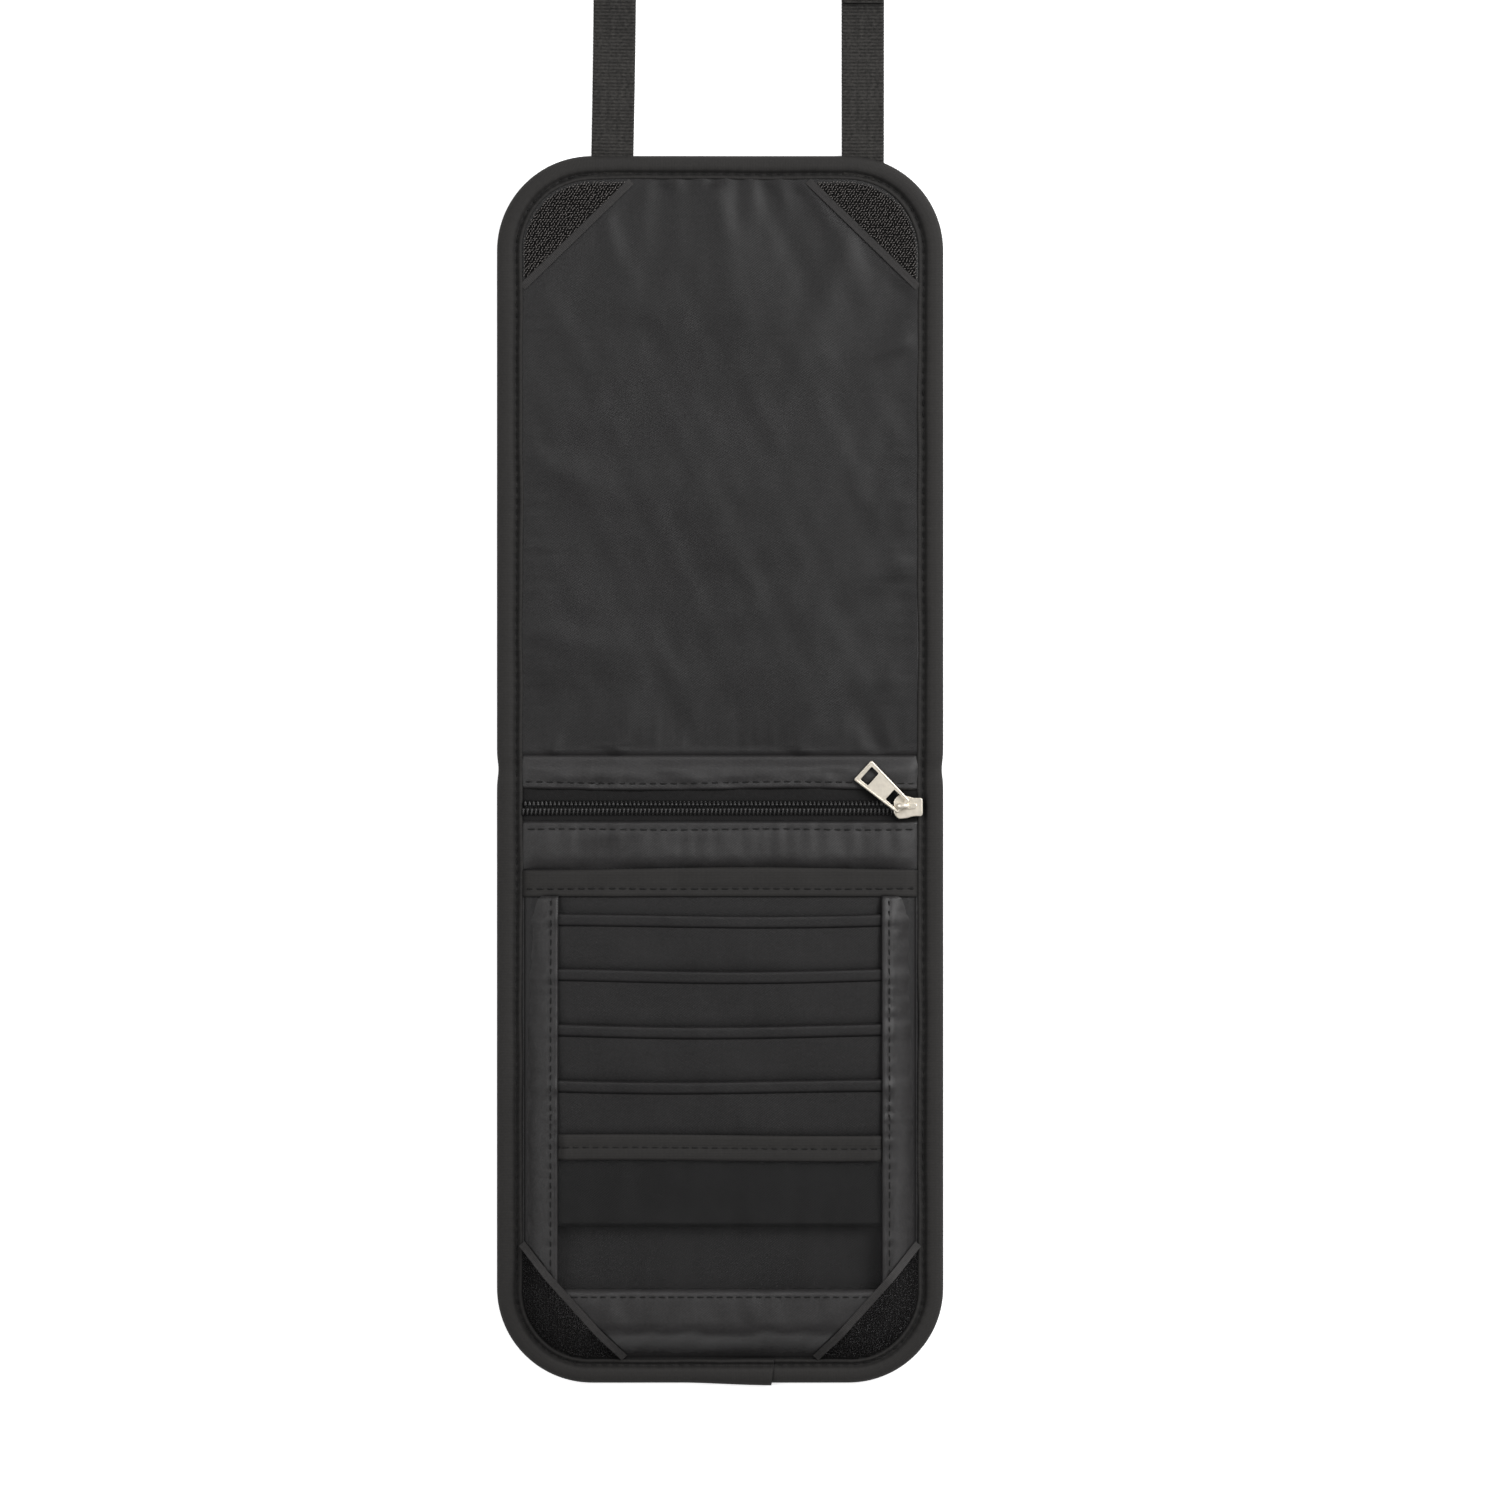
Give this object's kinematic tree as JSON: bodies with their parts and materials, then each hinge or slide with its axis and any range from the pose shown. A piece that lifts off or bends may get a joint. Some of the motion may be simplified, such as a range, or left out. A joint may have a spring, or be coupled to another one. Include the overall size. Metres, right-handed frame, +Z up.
{
  "type": "neck pouch wallet",
  "caption": "Fold-over fabric neck pouch lying open: zipped pocket, card slots and clear window on one half, plain flap with corner hook patches and a neck strap on the other.",
  "frame": {"origin": "middle of the fold line, on the plane the open pouch rests on", "axes": "+X across the pouch to the wearer's right as seen from above, +Y from the card half towards the flap and the strap, +Z up out of the inside faces"},
  "size_m": [0.1288, 0.6299, 0.0121],
  "materials": {
    "outer_fabric": "matt woven polyester",
    "lining_fabric": "fine twill with a slight sheen",
    "pocket_fabric": "plain woven polyester, slight sheen",
    "binding_tape": "matt grosgrain tape",
    "webbing": "ribbed matt webbing",
    "zip_tape": "matt herringbone tape",
    "zip_coil": "satin nylon coil",
    "hook_fastener": "coarse nylon hooks",
    "loop_fastener": "fuzzy brushed loops",
    "clear_film": "clear flexible film",
    "nickel_metal": "satin warm nickel plate",
    "black_plastic": "moulded satin plastic"
  },
  "bodies": {
    "card_side": {"lower_shell": "outer_fabric", "pocket_front": "pocket_fabric", "zip_facing": "pocket_fabric", "zip_tape_upper": "zip_tape", "zip_tape_lower": "zip_tape", "zip_coil_upper": "zip_coil", "zip_coil_lower": "zip_coil", "card_panel": "lining_fabric", "hem_band": "binding_tape", "card_slot_1": "lining_fabric", "card_slot_2": "lining_fabric", "card_slot_3": "lining_fabric", "card_slot_4": "lining_fabric", "window_film": "clear_film", "window_band": "binding_tape", "card_frame": "pocket_fabric", "loop_patch_left": "loop_fastener", "loop_patch_right": "loop_fastener", "lower_binding": "binding_tape"},
    "flap": {"upper_shell": "outer_fabric", "upper_lining": "lining_fabric", "hook_patch_left": "hook_fastener", "hook_patch_right": "hook_fastener", "upper_binding": "binding_tape", "strap_stub_left": "webbing", "strap_stub_right": "webbing"},
    "neck_strap": {"neck_webbing": "webbing", "strap_tab": "webbing", "strap_ring": "nickel_metal", "webbing_tail": "webbing"},
    "strap_adjuster": {"tri_glide": "black_plastic", "tail_wrap": "webbing"},
    "zip_slider": {"slider_body": "nickel_metal", "slider_bridge": "nickel_metal"},
    "zip_pull": {"pull_tab": "nickel_metal"}
  },
  "joints": [
    {"name": "fold", "type": "hinge", "parent": "card_side", "child": "flap", "pos_m": [0, 0, 0.00645], "axis": [1, 0, 0], "range_deg": [0, 180]},
    {"name": "strap_swing", "type": "hinge", "parent": "flap", "child": "neck_strap", "pos_m": [0, 0.178, 0.0011], "axis": [-1, 0, 0], "range_deg": [-90, 150]},
    {"name": "adjuster_slide", "type": "slide", "parent": "neck_strap", "child": "strap_adjuster", "axis": [0, 1, 0], "range_m": [-0.016, 0.034]},
    {"name": "zip_slide", "type": "slide", "parent": "card_side", "child": "zip_slider", "axis": [-1, 0, 0], "range_m": [0, 0.103]},
    {"name": "pull_swing", "type": "hinge", "parent": "zip_slider", "child": "zip_pull", "pos_m": [0.0518, -0.0104, 0.00475], "axis": [0.6704, 0.742, 0], "range_deg": [0, 165]}
  ]
}
